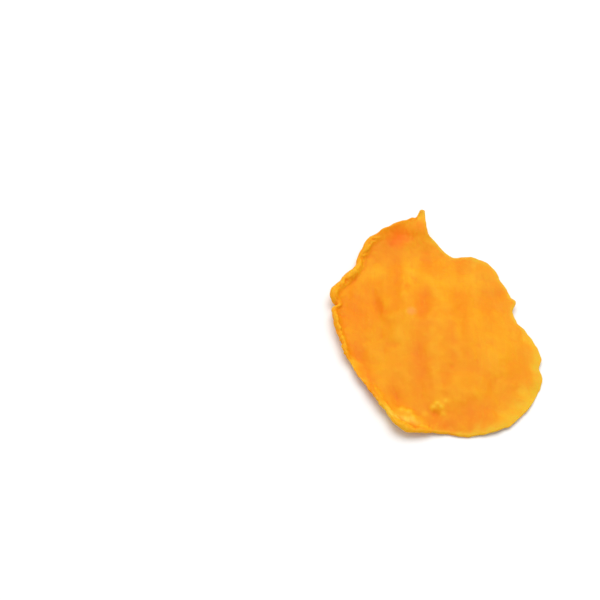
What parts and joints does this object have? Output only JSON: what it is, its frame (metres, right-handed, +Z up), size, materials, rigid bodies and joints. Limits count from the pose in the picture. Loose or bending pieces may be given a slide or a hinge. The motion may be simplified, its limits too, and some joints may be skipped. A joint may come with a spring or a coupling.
{
  "type": "dried mango slice",
  "caption": "Leathery dried slice cut from a mango cheek, an uneven egg outline with a small nib, gently domed, with its left edge and nib end curled up, lying flat.",
  "frame": {"origin": "on the table, under the middle of the slice's bounding box", "axes": "+Z up out of the table, through the face that shows; +Y from the broad end to the nib; +X to the feathered edge"},
  "size_m": [0.0726, 0.0956, 0.0092],
  "materials": {
    "flesh": "dried mango flesh: orange-yellow, satin, faintly translucent at thin edges, with fine lengthwise fibre furrows"
  },
  "bodies": {
    "root": {"mango_slice": "flesh"}
  },
  "joints": []
}
